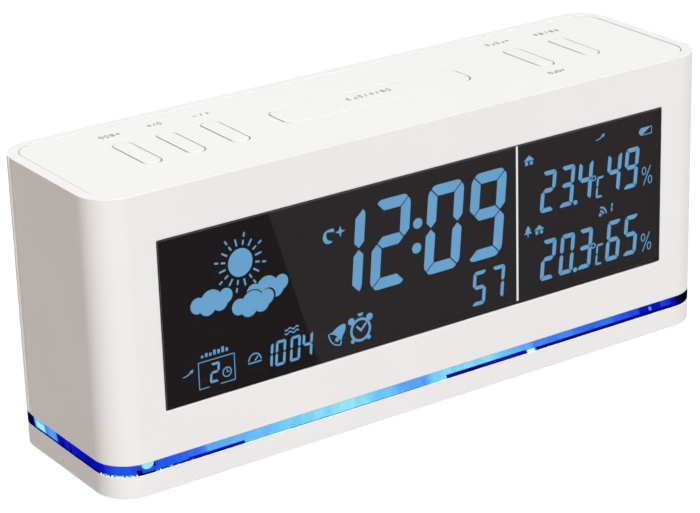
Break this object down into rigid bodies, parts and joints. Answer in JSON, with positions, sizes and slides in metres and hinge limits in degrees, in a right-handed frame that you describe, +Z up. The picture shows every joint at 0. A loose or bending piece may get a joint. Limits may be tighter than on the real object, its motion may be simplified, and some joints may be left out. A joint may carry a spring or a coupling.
{
  "type": "weather station",
  "caption": "Desk weather station: long white box with rounded corners, wide display window, top keys, clear lit band and shallow base tray.",
  "frame": {"origin": "on the floor, under the middle of the body", "axes": "+X to the right seen from the front, +Y to the back, +Z up"},
  "size_m": [0.19, 0.052, 0.0794],
  "materials": {
    "white_shell": "satin moulded white plastic",
    "white_keys": "satin moulded white plastic, slightly colder than the shell",
    "lens": "polished clear acrylic over a black display",
    "display_glass": "black display with light blue lit segments",
    "clear_guide": "polished clear acrylic, lit blue from inside",
    "white_film": "matt white",
    "grey_print": "flat grey pad print",
    "black_plastic": "matt black",
    "rubber": "matt black rubber",
    "circuit_board": "green lacquer over copper",
    "ribbon": "amber film with copper tracks",
    "steel": "nickel plated",
    "cell_can": "dark printed jacket with a plain steel end",
    "ferrite": "dark grey sintered rod with a copper winding"
  },
  "bodies": {
    "housing": {"front_housing": "white_shell", "rear_cover": "white_shell", "top_panel": "white_shell", "base_tray": "white_shell", "light_guide": "clear_guide", "rubber_foot_1": "rubber", "rubber_foot_2": "rubber", "rubber_foot_3": "rubber", "rubber_foot_4": "rubber", "display_lens": "lens", "display_glass": "display_glass", "display_frame": "white_film", "backlight_panel": "white_film", "elastomer_connector": "black_plastic", "main_board": "circuit_board", "key_board": "circuit_board", "key_ribbon": "ribbon", "mode_key_switch": "steel", "plus_key_switch": "steel", "minus_key_switch": "steel", "snooze_bar_switch": "steel", "history_key_switch": "steel", "range_key_switch": "steel", "light_board": "circuit_board", "reflector_sheet": "white_film", "rear_screw_1": "steel", "rear_screw_2": "steel", "rear_screw_3": "steel", "rear_screw_4": "steel", "base_screw_1": "steel", "base_screw_2": "steel", "base_screw_3": "steel", "base_screw_4": "steel", "cell_1": "cell_can", "cell_2": "cell_can", "cell_3": "cell_can", "battery_spring_1": "steel", "battery_spring_2": "steel", "battery_spring_3": "steel", "contact_plate_1": "steel", "contact_plate_2": "steel", "contact_plate_3": "steel", "power_socket": "black_plastic", "buzzer": "black_plastic", "sensor_board": "circuit_board", "ferrite_antenna": "ferrite"},
    "mode_key": {"mode_key": "white_keys", "mode_key_plunger": "black_plastic"},
    "plus_key": {"plus_key": "white_keys", "plus_key_plunger": "black_plastic"},
    "minus_key": {"minus_key": "white_keys", "minus_key_plunger": "black_plastic"},
    "snooze_bar": {"snooze_bar": "white_keys", "snooze_bar_plunger": "black_plastic"},
    "history_key": {"history_key": "white_keys", "history_key_plunger": "black_plastic"},
    "range_key": {"range_key": "white_keys", "range_key_plunger": "black_plastic"},
    "battery_door": {"battery_door": "white_shell"}
  },
  "joints": [
    {"name": "mode_key_press", "type": "slide", "parent": "housing", "child": "mode_key", "axis": [0, 0, -1], "range_m": [0, 0.0004], "stiffness_N_per_m": 400, "springref_m": -0.0005},
    {"name": "plus_key_press", "type": "slide", "parent": "housing", "child": "plus_key", "axis": [0, 0, -1], "range_m": [0, 0.0004], "stiffness_N_per_m": 400, "springref_m": -0.0005},
    {"name": "minus_key_press", "type": "slide", "parent": "housing", "child": "minus_key", "axis": [0, 0, -1], "range_m": [0, 0.0004], "stiffness_N_per_m": 400, "springref_m": -0.0005},
    {"name": "snooze_bar_press", "type": "slide", "parent": "housing", "child": "snooze_bar", "axis": [0, 0, -1], "range_m": [0, 0.0004], "stiffness_N_per_m": 600, "springref_m": -0.0005},
    {"name": "history_key_press", "type": "slide", "parent": "housing", "child": "history_key", "axis": [0, 0, -1], "range_m": [0, 0.0004], "stiffness_N_per_m": 400, "springref_m": -0.0005},
    {"name": "range_key_press", "type": "slide", "parent": "housing", "child": "range_key", "axis": [0, 0, -1], "range_m": [0, 0.0004], "stiffness_N_per_m": 400, "springref_m": -0.0005},
    {"name": "battery_door_hinge", "type": "hinge", "parent": "housing", "child": "battery_door", "pos_m": [0, 0.026, 0.0202], "axis": [-1, 0, 0], "range_deg": [0, 75]}
  ]
}
